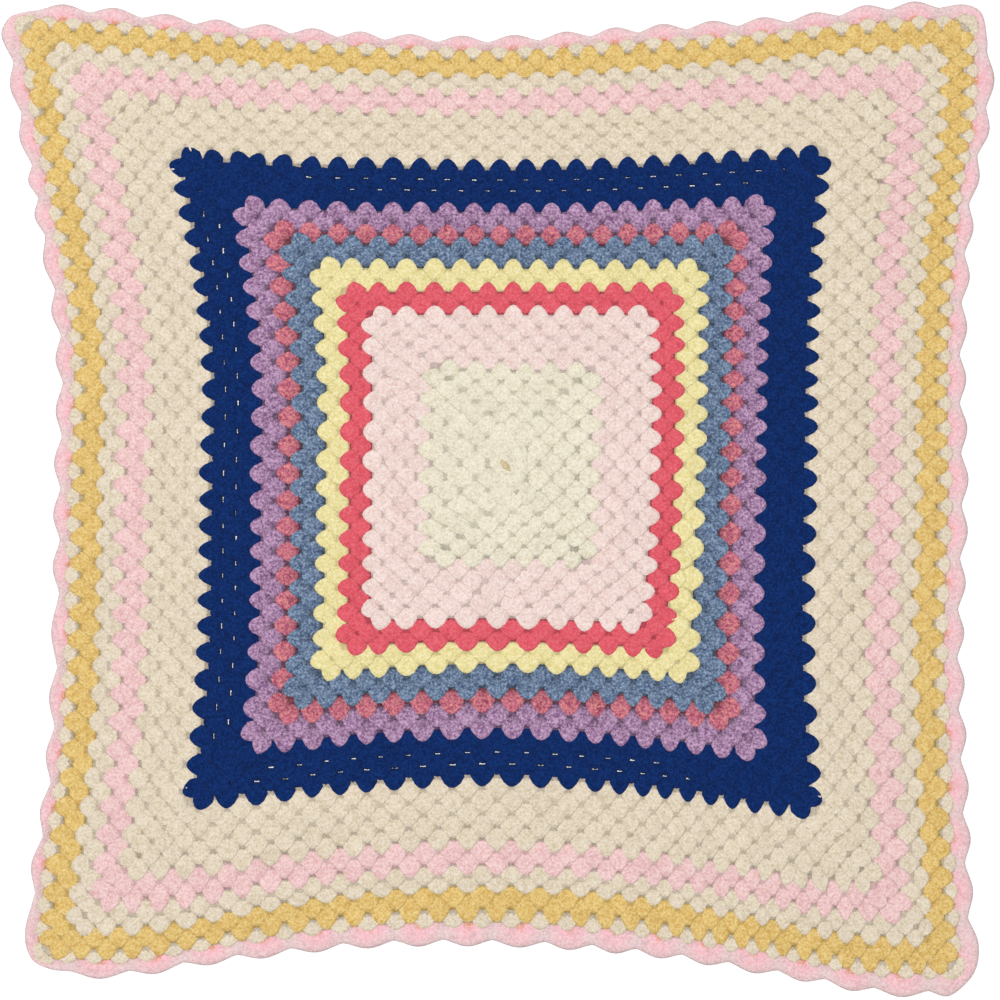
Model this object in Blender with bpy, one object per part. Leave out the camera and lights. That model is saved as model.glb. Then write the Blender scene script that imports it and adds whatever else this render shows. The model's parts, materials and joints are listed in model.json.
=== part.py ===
"""Granny square blanket: one crocheted square of 38 rounds with a worked-on shell edging.

Metres, +Z up. The underside lies on z = 0 and the origin is the middle of the blanket's
bounding box. Tables below are in millimetres, with x to the right and y away from the viewer.
"""

import math

import bpy
from mathutils import Vector

MM = 0.001

# Thickness of the crocheted fabric at the top of a round and at the holes between two rounds.
RIDGE_HEIGHT = 3.7
VALLEY_HEIGHT = 2.7
CENTRE_HEIGHT = 2.4

# Edging: thickness where it is worked on, along its middle and at its thin outer rim.
EDGING_ROOT_HEIGHT = 2.9
EDGING_CREST_HEIGHT = 3.6
EDGING_RIM_HEIGHT = 2.0
EDGING_CREST_SHARE = 0.45

# Gap between the square and its edging, measured away from the middle.
SEAM_GAP = 0.4

LAST_ROUND = 38
SEGMENTS_PER_SIDE = 8

# Shells along the top, right, bottom and left sides, between the fans that turn the corners,
# and the length of side that the fans take at its start and end, going clockwise.
SHELL_COUNTS = (18, 17, 17, 16)
FAN_MARGINS = ((37.0, 55.0), (55.0, 82.0), (49.0, 45.0), (83.0, 58.0))
SHELL_DEPTH = 8.0
SHELL_ROUNDNESS = 1.9
SHELL_STEPS = 6
FAN_STEPS = 3

# The rim of each corner's fan, at the end of the top, right, bottom and left sides.
CORNER_FANS = (
    ((464.0, 495.5), (481.5, 487.0), (487.0, 462.0)),
    ((478.5, -444.0), (474.0, -473.0), (450.0, -495.5)),
    ((-450.0, -469.0), (-469.0, -458.0), (-475.0, -432.0)),
    ((-498.5, 464.0), (-492.0, 481.0), (-480.0, 487.0)),
)

# The middle of the first round. The square was pulled a little up and to the right.
CENTRE = (4.5, 34.3)

# Where the outer line of a few rounds runs: its four corners (x, y), and how far the middle
# of each side lies inside the straight line between its corners. Other rounds lie between.
# Line n is the row of holes on the outer side of round n.
KEY_LINES = (
    # line, top left, top right, bottom right, bottom left, (top, right, bottom, left) dip
    (0, (-0.5, 39.3), (9.5, 39.3), (9.5, 29.3), (-0.5, 29.3), (0, 0, 0, 0)),
    (9, (-77.3, 144.0), (103.0, 140.0), (98.0, -71.0), (-83.3, -69.0), (3, -2, 2, -3)),
    (14, (-140.3, 194.5), (159.3, 195.4), (152.1, -135.0), (-140.3, -131.0), (-1, -6, 3, 2)),
    (18, (-192.5, 244.0), (210.2, 242.2), (199.8, -185.1), (-191.6, -182.4), (1, -2, 10, 7)),
    (23, (-270.8, 305.2), (277.2, 307.0), (268.2, -263.4), (-261.8, -255.3), (8, 5, 19, 15)),
    (27, (-333.8, 354.7), (332.1, 356.5), (322.2, -321.0), (-320.3, -311.1), (14, 10, 29, 26)),
    (32, (-394.0, 408.5), (398.2, 412.0), (379.0, -394.4), (-379.0, -380.0), (18, 13, 34, 32)),
    (36, (-450.0, 455.0), (450.0, 456.0), (431.4, -449.2), (-430.0, -438.0), (25, 15, 46, 40)),
    (39, (-485.0, 486.0), (481.0, 488.0), (468.0, -485.0), (-468.0, -467.0), (28, 15, 41, 38)),
    (40, (-502.0, 498.0), (492.0, 499.0), (481.0, -498.0), (-477.0, -476.0), (34, 18, 40, 43)),
)

# How the dip builds up along a side, as a share of the dip at its middle. The sides run
# clockwise: top from the left, right from the top, bottom from the right, left from the bottom.
DIP_STATIONS = (0.0, 0.1, 0.2, 0.35, 0.5, 0.65, 0.8, 0.9, 1.0)
INNER_DIP_LINE = 27
OUTER_DIP_LINE = 40
INNER_DIP = (
    (0.0, 0.39, 0.71, 0.86, 1.0, 0.93, 0.57, 0.30, 0.0),
    (0.0, 0.42, 0.83, 1.05, 1.0, 1.03, 0.83, 0.35, 0.0),
    (0.0, 0.20, 0.54, 0.85, 1.0, 0.82, 0.50, 0.15, 0.0),
    (0.0, 0.39, 0.68, 0.89, 1.0, 1.18, 0.90, 0.49, 0.0),
)
OUTER_DIP = (
    (0.0, 0.13, 0.46, 0.85, 1.0, 0.70, 0.40, 0.04, 0.0),
    (0.0, -0.15, 0.75, 1.20, 1.0, 1.15, 0.78, 0.48, 0.0),
    (0.0, 0.0, 0.36, 0.84, 1.0, 0.87, 0.40, 0.0, 0.0),
    (0.0, 0.21, 0.60, 0.86, 1.0, 1.11, 0.65, 0.27, 0.0),
)

# Yarn colours as sRGB hex, and the last round that each is worked in.
YARNS = {
    "ivory": "EFEBD6",
    "pale_pink": "F5E0DA",
    "coral": "E8566A",
    "yellow": "F1EA9E",
    "slate_blue": "6F8FAE",
    "rose": "D96B76",
    "mauve": "C193BD",
    "navy": "0F2F73",
    "cream": "EBE0C5",
    "pink": "F7C9CC",
    "gold": "F0C468",
}
BANDS = (
    ("ivory", 8),
    ("pale_pink", 13),
    ("coral", 15),
    ("yellow", 17),
    ("slate_blue", 19),
    ("rose", 20),
    ("mauve", 22),
    ("navy", 26),
    ("cream", 31),
    ("pink", 33),
    ("cream", 35),
    ("gold", 37),
    ("cream", 38),
)


def clear_scene():
    for item in list(bpy.data.objects):
        bpy.data.objects.remove(item, do_unlink=True)


def linear(channel):
    """One sRGB channel, 0 to 1, as linear light."""
    return channel / 12.92 if channel <= 0.04045 else ((channel + 0.055) / 1.055) ** 2.4


def yarn_material(name):
    """Matt spun yarn of one colour."""
    code = YARNS[name]
    rgb = [linear(int(code[at : at + 2], 16) / 255) for at in (0, 2, 4)]
    material = bpy.data.materials.new(name + "_yarn")
    material.use_nodes = True
    shader = material.node_tree.nodes["Principled BSDF"]
    shader.inputs["Base Color"].default_value = (*rgb, 1.0)
    shader.inputs["Roughness"].default_value = 0.95
    shader.inputs["Metallic"].default_value = 0.0
    material.diffuse_color = (*rgb, 1.0)
    return material


def smooth_between(stations, values, at):
    """A smooth curve through the values at the stations (Catmull-Rom)."""
    last = len(stations) - 1
    i = max(j for j in range(last) if stations[j] <= at) if at > 0 else 0
    step = stations[i + 1] - stations[i]
    share = (at - stations[i]) / step

    def slope(j):
        low, high = max(j - 1, 0), min(j + 1, last)
        return (values[high] - values[low]) / (stations[high] - stations[low])

    square, cube = share * share, share * share * share
    return (
        (2 * cube - 3 * square + 1) * values[i]
        + (cube - 2 * square + share) * step * slope(i)
        + (3 * square - 2 * cube) * values[i + 1]
        + (cube - square) * step * slope(i + 1)
    )


def key_pair(line):
    """The two key lines around this one, and how far it lies from the first to the second."""
    for low, high in zip(KEY_LINES, KEY_LINES[1:]):
        if line <= high[0]:
            return low, high, (line - low[0]) / (high[0] - low[0])
    return KEY_LINES[-2], KEY_LINES[-1], 1.0


def line_point(line, side, along):
    """A point of a line of the square, in mm. side is 0 to 3 clockwise from the top."""
    low, high, share = key_pair(line)

    def corner(number):
        start, end = Vector(low[1 + number % 4]), Vector(high[1 + number % 4])
        return start.lerp(end, share)

    first, second = corner(side), corner(side + 1)
    dip = low[5][side] + (high[5][side] - low[5][side]) * share
    span = OUTER_DIP_LINE - INNER_DIP_LINE
    outer = min(max((line - INNER_DIP_LINE) / span, 0.0), 1.0)
    inner_form = smooth_between(DIP_STATIONS, INNER_DIP[side], along)
    outer_form = smooth_between(DIP_STATIONS, OUTER_DIP[side], along)
    dip *= inner_form + (outer_form - inner_form) * outer
    inward = Vector((second.y - first.y, first.x - second.x)).normalized()
    return first.lerp(second, along) + inward * dip


def square_ring(line):
    """The corner and side points of one line, clockwise from the top left corner."""
    return [
        line_point(line, side, step / SEGMENTS_PER_SIDE)
        for side in range(4)
        for step in range(SEGMENTS_PER_SIDE)
    ]


def seam_point(side, along):
    """A point of the edging's root, on the straight facets of the square's own rim."""
    place = min(int(along * SEGMENTS_PER_SIDE), SEGMENTS_PER_SIDE - 1)
    first = line_point(LAST_ROUND, side, place / SEGMENTS_PER_SIDE)
    second = line_point(LAST_ROUND, side, (place + 1) / SEGMENTS_PER_SIDE)
    point = first.lerp(second, along * SEGMENTS_PER_SIDE - place)
    away = point - Vector(CENTRE)
    return point + away.normalized() * SEAM_GAP


def side_length(side):
    ends = [line_point(OUTER_DIP_LINE, side, along) for along in (0.0, 1.0)]
    return (ends[1] - ends[0]).length


def shell_pitch(side):
    """Length of side that one shell takes, as a share of the side."""
    room = side_length(side) - sum(FAN_MARGINS[side])
    return room / SHELL_COUNTS[side] / side_length(side)


def shell_place(side, shell):
    """How far along its side the middle of a shell is. Halves give the dips between shells."""
    return FAN_MARGINS[side][0] / side_length(side) + (shell + 0.5) * shell_pitch(side)


def shell_point(side, shell, offset):
    """The rim at one shell of a side. offset is -0.5 to 0.5 of a pitch from its middle."""
    outer = line_point(OUTER_DIP_LINE, side, shell_place(side, shell + offset))
    across = line_point(OUTER_DIP_LINE, side, 1.0) - line_point(OUTER_DIP_LINE, side, 0.0)
    inward = Vector((across.y, -across.x)).normalized()
    return outer + inward * SHELL_DEPTH * abs(2 * offset) ** SHELL_ROUNDNESS


def fan_rim(side):
    """The rim of the fan at the end of a side: a smooth curve from dip to dip."""
    knots = [shell_point(side, SHELL_COUNTS[side] - 1, 0.5)]
    knots += [Vector(knot) for knot in CORNER_FANS[side]]
    knots.append(shell_point((side + 1) % 4, 0, -0.5))
    stations = list(range(len(knots)))
    steps = [step / FAN_STEPS for step in range(FAN_STEPS * (len(knots) - 1))]
    return [
        Vector([smooth_between(stations, [knot[axis] for knot in knots], at) for axis in (0, 1)])
        for at in steps
    ]


def fan_roots(side, count):
    """Points of the seam under a corner fan, round the corner of the square."""
    following = (side + 1) % 4
    before = 1 - shell_place(side, SHELL_COUNTS[side] - 0.5)
    after = shell_place(following, -0.5)
    roots = []
    for step in range(count):
        turn = 2 * step / count
        if turn < 1:
            roots.append(seam_point(side, 1 - before * (1 - turn)))
        else:
            roots.append(seam_point(following, after * (turn - 1)))
    return roots


def edging_loop():
    """Pairs of points all the way round the edging: on its root and on its scalloped rim."""
    pairs = []
    for side in range(4):
        for shell in range(SHELL_COUNTS[side]):
            for step in range(SHELL_STEPS):
                offset = step / SHELL_STEPS - 0.5
                root = seam_point(side, shell_place(side, shell + offset))
                pairs.append((root, shell_point(side, shell, offset)))
        rim = fan_rim(side)
        pairs += zip(fan_roots(side, len(rim)), rim)
    return pairs


def middle_of(points):
    """The middle of the box around the points."""
    xs, ys = [point.x for point in points], [point.y for point in points]
    return Vector(((min(xs) + max(xs)) / 2, (min(ys) + max(ys)) / 2))


def place(points, height, shift):
    """Points in mm, moved by the shift, as 3-D points in metres at this height."""
    return [((p.x - shift.x) * MM, (p.y - shift.y) * MM, height * MM) for p in points]


def strip(lower, upper, count):
    """Quads between two rings of points, given the index where each ring starts."""
    return [
        (lower + i, lower + (i + 1) % count, upper + (i + 1) % count, upper + i)
        for i in range(count)
    ]


def add_object(name, points, faces, materials, face_slots=None):
    mesh = bpy.data.meshes.new(name)
    mesh.from_pydata(points, [], faces)
    for material in materials:
        mesh.materials.append(material)
    if face_slots:
        mesh.polygons.foreach_set("material_index", face_slots)
    mesh.validate()
    item = bpy.data.objects.new(name, mesh)
    bpy.context.scene.collection.objects.link(item)
    return item


def band_slot(round_number, names):
    yarn = next(name for name, last in BANDS if round_number <= last)
    return names.index(yarn)


def make_square(shift):
    """The crocheted square: a rib for each round above a flat underside."""
    names = list(dict.fromkeys(name for name, _ in BANDS))
    count = 4 * SEGMENTS_PER_SIDE
    points = place([Vector(CENTRE)], CENTRE_HEIGHT, shift)
    points += place(square_ring(0.5), RIDGE_HEIGHT, shift)
    faces = [(0, 1 + (i + 1) % count, 1 + i) for i in range(count)]
    slots = [0] * count
    for round_number in range(1, LAST_ROUND + 1):
        ridge = len(points) - count
        points += place(square_ring(round_number), VALLEY_HEIGHT, shift)
        faces += strip(ridge, ridge + count, count)
        slots += [band_slot(round_number, names)] * count
        if round_number < LAST_ROUND:
            points += place(square_ring(round_number + 0.5), RIDGE_HEIGHT, shift)
            faces += strip(ridge + count, ridge + 2 * count, count)
            slots += [band_slot(round_number + 1, names)] * count
    rim = len(points) - count
    points += place(square_ring(LAST_ROUND), 0.0, shift)
    faces += strip(rim, rim + count, count)
    faces.append(tuple(range(rim + count, rim + 2 * count)))
    slots += [band_slot(LAST_ROUND, names)] * (count + 1)
    materials = [yarn_material(name) for name in names]
    return add_object("granny_square", points, faces, materials, slots)


def make_edging(pairs, shift):
    """The shell edging: a scalloped border with its crest between the root and the rim."""
    count = len(pairs)
    roots = [root for root, _ in pairs]
    rims = [rim for _, rim in pairs]
    crests = [root.lerp(rim, EDGING_CREST_SHARE) for root, rim in pairs]
    points = (
        place(roots, 0.0, shift)
        + place(roots, EDGING_ROOT_HEIGHT, shift)
        + place(crests, EDGING_CREST_HEIGHT, shift)
        + place(rims, EDGING_RIM_HEIGHT, shift)
        + place(rims, 0.0, shift)
    )
    rings = 5
    faces = []
    for ring in range(rings):
        faces += strip(ring * count, (ring + 1) % rings * count, count)
    return add_object("shell_edging", points, faces, [yarn_material("pink")])


def main():
    clear_scene()
    pairs = edging_loop()
    shift = middle_of([rim for _, rim in pairs])
    make_square(shift)
    make_edging(pairs, shift)


main()
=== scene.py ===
"""Granny square blanket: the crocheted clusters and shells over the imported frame.

Each round is a row of treble clusters. A cluster starts in a gap of the round before it, fans out
over two rows and ends in a round head, so the heads lie like fish scales. Lengths in the tables
are in millimetres from the middle of the blanket's own grid, with x to the right and y upwards.
"""

import json
import math
from functools import partial

import bpy
from bpy.props import FloatProperty, FloatVectorProperty, IntProperty, PointerProperty
from mathutils import Matrix, Vector

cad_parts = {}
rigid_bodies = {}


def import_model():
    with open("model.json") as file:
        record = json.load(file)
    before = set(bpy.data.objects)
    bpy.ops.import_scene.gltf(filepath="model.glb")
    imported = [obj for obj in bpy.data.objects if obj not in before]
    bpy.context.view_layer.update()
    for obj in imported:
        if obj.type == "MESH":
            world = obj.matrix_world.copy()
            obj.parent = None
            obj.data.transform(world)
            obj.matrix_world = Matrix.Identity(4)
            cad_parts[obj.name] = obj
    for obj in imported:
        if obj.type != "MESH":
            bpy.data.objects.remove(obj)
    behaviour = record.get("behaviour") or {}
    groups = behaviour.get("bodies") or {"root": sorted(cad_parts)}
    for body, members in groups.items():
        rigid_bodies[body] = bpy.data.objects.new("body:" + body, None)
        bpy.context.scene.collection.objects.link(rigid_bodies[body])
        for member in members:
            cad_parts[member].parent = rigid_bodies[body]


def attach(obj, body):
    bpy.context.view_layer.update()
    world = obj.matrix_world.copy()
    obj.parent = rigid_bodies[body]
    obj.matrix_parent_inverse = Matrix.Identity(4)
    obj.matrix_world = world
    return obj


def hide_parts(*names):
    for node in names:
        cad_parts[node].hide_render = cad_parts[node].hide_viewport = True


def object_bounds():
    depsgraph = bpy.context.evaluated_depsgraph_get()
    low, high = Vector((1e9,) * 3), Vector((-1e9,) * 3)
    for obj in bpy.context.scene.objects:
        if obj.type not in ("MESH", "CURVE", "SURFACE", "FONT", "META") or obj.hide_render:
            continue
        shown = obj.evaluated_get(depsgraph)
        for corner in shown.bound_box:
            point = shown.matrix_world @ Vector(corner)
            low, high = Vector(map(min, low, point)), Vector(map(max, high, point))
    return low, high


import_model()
CAD_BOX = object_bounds()

bl_info = {
    "name": "Granny square blanket",
    "version": (1, 0, 0),
    "blender": (4, 5, 0),
    "location": "View3D > Sidebar > Blanket",
    "description": "Works a striped granny square blanket with a shell edging",
    "category": "Object",
}

MM = 0.001
# How far inside the solid's top and underside the cloth stays, in metres.
SKIN = 0.0001

# ---- The grid that every round is worked on ----

# Middle of the blanket's bounding box on the grid, which is the frame's origin.
GRID_MIDDLE = Vector((-2.01, 0.62))

# Four corners of a few lines and how far the middle of each side is drawn in. Line n is the row
# of gaps on the outer side of round n. Other lines lie between these.
KEY_LINES = (
    # line, top left, top right, bottom right, bottom left, (top, right, bottom, left) dip
    (0, (12.9, 39.0), (13.1, 39.0), (13.1, 35.0), (12.9, 35.0), (0, 0, 0, 0)),
    (2, (12.5, 62.0), (13.5, 62.0), (13.5, 12.0), (12.5, 12.0), (0, 0, 0, 0)),
    (5, (-24.3, 96.0), (51.4, 96.0), (51.4, -24.0), (-24.3, -24.0), (0, 0, 0, 0)),
    (9, (-77.3, 144.0), (103.0, 140.0), (98.0, -71.0), (-83.3, -69.0), (3, -2, 2, -3)),
    (14, (-140.3, 194.5), (159.3, 195.4), (152.1, -135.0), (-140.3, -131.0), (-1, -6, 3, 2)),
    (18, (-192.5, 244.0), (210.2, 242.2), (199.8, -185.1), (-191.6, -182.4), (1, -2, 10, 7)),
    (23, (-270.8, 305.2), (277.2, 307.0), (268.2, -263.4), (-261.8, -255.3), (8, 5, 19, 15)),
    (27, (-334.8, 354.9), (333.4, 356.8), (323.6, -321.5), (-321.3, -311.6), (14, 10, 29, 26)),
    (32, (-402.5, 412.5), (400.5, 413.5), (384.5, -397.0), (-384.5, -382.0), (21, 14, 38, 34)),
    (34, (-434.5, 439.5), (428.0, 440.5), (416.0, -425.5), (-413.5, -415.0), (27, 17, 44, 36)),
    (36, (-458.0, 460.5), (450.0, 457.5), (435.0, -448.5), (-436.5, -436.5), (31, 18, 49, 43)),
    (39, (-494.5, 492.5), (487.0, 494.0), (473.5, -489.5), (-477.5, -471.0), (32, 18, 41, 43)),
    (40, (-502.0, 498.0), (492.0, 499.0), (481.0, -498.0), (-477.0, -476.0), (34, 18, 40, 43)),
)

# Middle of the eye that is left in the foundation seam.
EYE = Vector((5.3, 34.3))

# How the dip builds up along a side, as a share of the dip at its middle. The sides run
# clockwise: the top from the left, then the right, the bottom and the left.
DIP_STATIONS = (0.0, 0.1, 0.2, 0.35, 0.5, 0.65, 0.8, 0.9, 1.0)
INNER_DIP_LINE = 27
OUTER_DIP_LINE = 40
INNER_DIP = (
    (0.0, 0.39, 0.71, 0.86, 1.0, 0.93, 0.57, 0.30, 0.0),
    (0.0, 0.42, 0.83, 1.05, 1.0, 1.03, 0.83, 0.35, 0.0),
    (0.0, 0.20, 0.54, 0.85, 1.0, 0.82, 0.50, 0.15, 0.0),
    (0.0, 0.39, 0.68, 0.89, 1.0, 1.18, 0.90, 0.41, 0.0),
)
OUTER_DIP = (
    (0.0, 0.13, 0.46, 0.85, 1.0, 0.70, 0.40, 0.04, 0.0),
    (0.0, -0.15, 0.75, 1.20, 1.0, 1.15, 0.78, 0.48, 0.0),
    (0.0, 0.0, 0.36, 0.84, 1.0, 0.87, 0.40, 0.0, 0.0),
    (0.0, 0.21, 0.60, 0.86, 1.0, 1.11, 0.65, 0.27, 0.0),
)

# The way each side runs, clockwise from the top.
SIDE_WAYS = (Vector((1, 0)), Vector((0, -1)), Vector((-1, 0)), Vector((0, 1)))

# The rounds go round a short foundation seam, which takes the place of the first two.
FIRST_ROUND, LAST_ROUND = 3, 38
THIN_ROUND = 0.85  # the thickness of the first and the last, as a share
# Where the last round's heads end, and the lines that the fills of its corners run between.
LAST_HEAD_LINE = 38.35
CORNER_FILL_LINES = (37.2, 38.1)

# Steps of a backing to a side. The navy rounds are worked loosely past OPEN_LINE, and the backing
# stops there, so that the floor shows, except over a side's first steps.
BACKING_STEPS = 14
BACKING_PLY = (20.0, 10.0)  # mm that the plies run in a step and across
OPEN_LINE = 23.6
OPEN_ROUNDS = (24, 25)
CLOSED_STEPS = (2, 14, 2, 0)
# Rounds that a backing begins before its band, usually and after the open gaps, and goes on past
# it, usually and at the edging.
BACKING_BEGINS, BACKING_BEGINS_OPEN = 0.95, 1.15
BACKING_ENDS, BACKING_ENDS_LAST = 0.05, -0.12
LOWER_BACKING = 0.97  # every second one, so that no two share a plane

# Clusters that shift to make room for an extra one, or to close up where one is left out.
SQUEEZED = 6
# Mm to the side of its head that a cluster starts at most.
FARTHEST_PULL = 9.0
# Width in mm of a cluster alone on its side, of one at a corner at most, and of a short one.
LONE_WIDTH, CORNER_WIDTH, SHORT_WIDTH = 25.0, 26.0, 24.0
# How far from its diagonal a corner's clusters start, in mm, and how many lines inside their
# round: usually, in a new yarn, and in a new yarn on the open rounds.
CORNER_INSET = 3.0
CORNER_START, CORNER_START_NEW, CORNER_START_OPEN = 0.8, 0.68, 0.55
# A gap is empty if no cluster starts this near, in mm. Where the short cluster in it ends, in
# lines past its round, and at most.
EMPTY_GAP = 7.0
SHORT_REACH, SHORT_LAST_LINE = 0.55, 38.2
# Share of its length that a cluster starts sooner over an open gap, or later in mixed yarn.
START_SHIFT = 0.02
ODD_ROUND_LIFT = 0.00005  # in metres, so that no two rounds share a plane

# Clusters along the top, right, bottom and left sides. Rounds between these gain evenly.
CLUSTER_COUNTS = (
    # round, top, right, bottom, left
    (3, 1, 3, 1, 3),
    (8, 6, 8, 6, 8),
    (13, 11, 13, 10, 12),
    (17, 15, 16, 14, 16),
    (22, 20, 21, 19, 21),
    (25, 23, 24, 23, 24),
    (26, 25, 25, 24, 25),
    (35, 35, 35, 34, 34),
    (38, 38, 38, 37, 36),
)
# Mm from a corner of a line to the middle of the nearest cluster head, on the same sides.
CORNER_STEPS = (
    # round, top, right, bottom, left
    (8, 27.0, 18.5, 27.0, 18.5),
    (13, 18.5, 18.5, 18.5, 18.5),
)

# Colour bands from the middle out: piece, yarn, first and last round.
BANDS = (
    ("ivory_rounds", "ivory", 3, 8),
    ("pale_pink_rounds", "pale_pink", 9, 13),
    ("coral_rounds", "coral", 14, 15),
    ("yellow_rounds", "yellow", 16, 17),
    ("slate_blue_rounds", "slate_blue", 18, 19),
    ("rose_round", "rose", 20, 20),
    ("mauve_rounds", "mauve", 21, 22),
    ("navy_rounds", "navy", 23, 26),
    ("wide_cream_rounds", "cream", 27, 31),
    ("pink_rounds", "pink", 32, 33),
    ("narrow_cream_rounds", "cream", 34, 35),
    ("gold_rounds", "gold", 36, 37),
    ("last_cream_round", "cream", 38, 38),
)

NEW_YARN_ROUNDS = [band[2] for band in BANDS]

# Dips between the shells of the top, right, bottom and left sides, in mm from the side's first
# corner, going clockwise.
SHELL_DIPS = (
    (39.5, 91.5, 143.5, 196.5, 244.5, 292.5, 339.5, 386.5, 438.5, 489.5, 541.5, 592.5, 640.5,
     688.5, 739.5, 790.5, 841.5, 891.5, 941.0),
    (51.5, 106.5, 154.5, 203.5, 252.5, 301.5, 353.5, 402.5, 452.5, 504.5, 557.5, 608.5, 656.5,
     708.5, 758.5, 812.5, 862.5, 917.0),
    (53.0, 107.0, 156.0, 204.0, 253.0, 300.0, 346.0, 390.0, 437.0, 490.0, 539.0, 588.0, 639.0,
     691.0, 745.0, 798.0, 852.0, 911.0),
    (82.5, 139.5, 192.5, 248.5, 307.5, 381.5, 434.5, 486.5, 538.5, 591.5, 639.5, 685.5, 739.5,
     777.5, 810.5, 862.5, 914.5),
)
SHELL_COUNTS = [len(dips) - 1 for dips in SHELL_DIPS]
# Points (x, y) of the rim of the fan that turns each corner, after the side's last shell.
CORNER_FANS = (
    ((464.0, 495.5), (481.5, 487.0), (487.0, 462.0)),
    ((478.5, -444.0), (474.0, -473.0), (450.0, -495.5)),
    ((-450.0, -469.0), (-469.0, -458.0), (-475.0, -432.0)),
    ((-498.5, 464.0), (-492.0, 481.0), (-480.0, 487.0)),
)

# ---- Yarns ----

# sRGB hex of the yarn, of its darker flecks and of its paler fibre ends.
YARNS = {
    "ivory": ("DFD7C3", "C4BCA0", "EFEAD9"),
    "pale_pink": ("E3CEC7", "D2B0A9", "F4E6E0"),
    "coral": ("D75764", "B83A49", "E9848C"),
    "yellow": ("E0D399", "CABC76", "F2EDC4"),
    "slate_blue": ("667792", "3A4D6E", "98AFC6"),
    "rose": ("C26C82", "8C3A52", "E59A8E"),
    "mauve": ("A480A2", "6C4670", "D0AFCE"),
    "navy": ("0B275D", "06163C", "183D80"),
    "cream": ("D8CAB5", "BFAF91", "EDE4D2"),
    "pink": ("E2BEBC", "CF9A9D", "F3DBD9"),
    "gold": ("D7B76F", "BD9245", "EED79D"),
    "shell_pink": ("DDC3C3", "CBA8AA", "EDDADA"),
    # Painted shadow for the open eye of the seam.
    "tan": ("CDBD97", "B09B74", "E2D3B4"),
}
# The middle of a shell, where the trebles crowd together and take a deeper colour.
SHELL_BLUSH = "EFB4BD"
# The foot of a shell, where gold shows through the pink and painted shadow darkens it.
SHELL_FOOT_SHADOW_AND_GOLD = "D98A62"
# Yarns spun from two or three colours of fibre, where painted shade darkens even the shallow
# grooves between trebles.
MIXED_YARNS = ("slate_blue", "rose", "mauve")
# How strongly a yarn is flecked, and what share of its colour is left under the painted shade
# of a crease and of the bottom of a gap. Fuzzy pale yarn hides both, so it gets little of either.
YARN_LOOKS = {
    # yarn: flecks, crease (painted shade), gap (painted shade)
    "coral": (0.4, 0.75, 0.6),
    "slate_blue": (0.8, 0.55, 0.45),
    "rose": (0.8, 0.5, 0.3),
    "mauve": (0.8, 0.55, 0.4),
    "navy": (0.5, 0.9, 1.0),
}
PALE_YARN_LOOKS = (0.6, 0.97, 0.74)


def linear(channel):
    """One sRGB channel, 0 to 1, as linear light."""
    return channel / 12.92 if channel <= 0.04045 else ((channel + 0.055) / 1.055) ** 2.4


def linear_rgb(code):
    return [linear(int(code[at : at + 2], 16) / 255) for at in (0, 2, 4)]


# ---- Sizes that a user would change ----


def colour(name):
    return FloatVectorProperty(
        name=name.replace("_", " ").capitalize(),
        description=f"Colour of the {name.replace('_', ' ')} yarn",
        subtype="COLOR",
        size=3,
        min=0.0,
        max=1.0,
        default=linear_rgb(YARNS[name][0]),
    )


class BlanketYarns(bpy.types.PropertyGroup):
    """Colours of the yarns, from the middle of the blanket out."""

    ivory: colour("ivory")
    pale_pink: colour("pale_pink")
    coral: colour("coral")
    yellow: colour("yellow")
    slate_blue: colour("slate_blue")
    rose: colour("rose")
    mauve: colour("mauve")
    navy: colour("navy")
    cream: colour("cream")
    pink: colour("pink")
    gold: colour("gold")
    shell_pink: colour("shell_pink")
    tan: colour("tan")


class BlanketStitches(bpy.types.PropertyGroup):
    """Sizes of the clusters and shells."""

    thickness: FloatProperty(
        name="Thickness",
        description="Height of a cluster's head above the underside",
        subtype="DISTANCE",
        unit="LENGTH",
        default=CAD_BOX[1].z - CAD_BOX[0].z,
    )
    head_share: FloatProperty(
        name="Head width",
        description="Width of a cluster's head as a share of the distance between heads",
        subtype="FACTOR",
        min=0.4,
        max=1.0,
        default=0.90,
    )
    backing: FloatProperty(
        name="Backing",
        description="Height of the flat backing under the clusters, as a share of the thickness",
        subtype="FACTOR",
        min=0.1,
        max=0.7,
        default=0.62,
    )
    turn_wobble: FloatProperty(
        name="Turn wobble",
        description="How far a cluster leans to either side at random",
        subtype="ANGLE",
        default=math.radians(2.0),
    )
    size_wobble: FloatProperty(
        name="Size wobble",
        description="How much wider or narrower a cluster is at random",
        subtype="FACTOR",
        min=0.0,
        max=0.3,
        default=0.04,
    )
    shell_depth: FloatProperty(
        name="Shell depth",
        description="How far the rim dips between two shells of the edging",
        subtype="DISTANCE",
        unit="LENGTH",
        default=0.0068,
    )
    seed: IntProperty(
        name="Seed",
        description="Chooses another set of small unevennesses",
        default=11,
    )


class BlanketStage(bpy.types.PropertyGroup):
    """Camera, floor and light."""

    camera_height: FloatProperty(
        name="Camera height",
        description="Height of the camera above the floor",
        subtype="DISTANCE",
        unit="LENGTH",
        default=6.0,
    )
    picture_width: FloatProperty(
        name="Picture width",
        description="Width of floor that the picture takes in",
        subtype="DISTANCE",
        unit="LENGTH",
        default=1.0,
    )
    floor_size: FloatProperty(
        name="Floor size",
        description="Side of the square floor",
        subtype="DISTANCE",
        unit="LENGTH",
        default=12.0,
    )
    room_light: FloatProperty(
        name="Room light",
        description="Strength of the even white light from all round",
        min=0.0,
        default=0.50,
    )
    softbox_power: FloatProperty(
        name="Softbox power",
        description="Power of the soft light beside the camera",
        subtype="POWER",
        unit="POWER",
        default=14.0,
    )
    overhead_power: FloatProperty(
        name="Overhead power",
        description="Power of the large light straight above, which keeps shadows faint",
        subtype="POWER",
        unit="POWER",
        default=307.0,
    )


# ---- The grid's own geometry ----


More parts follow.
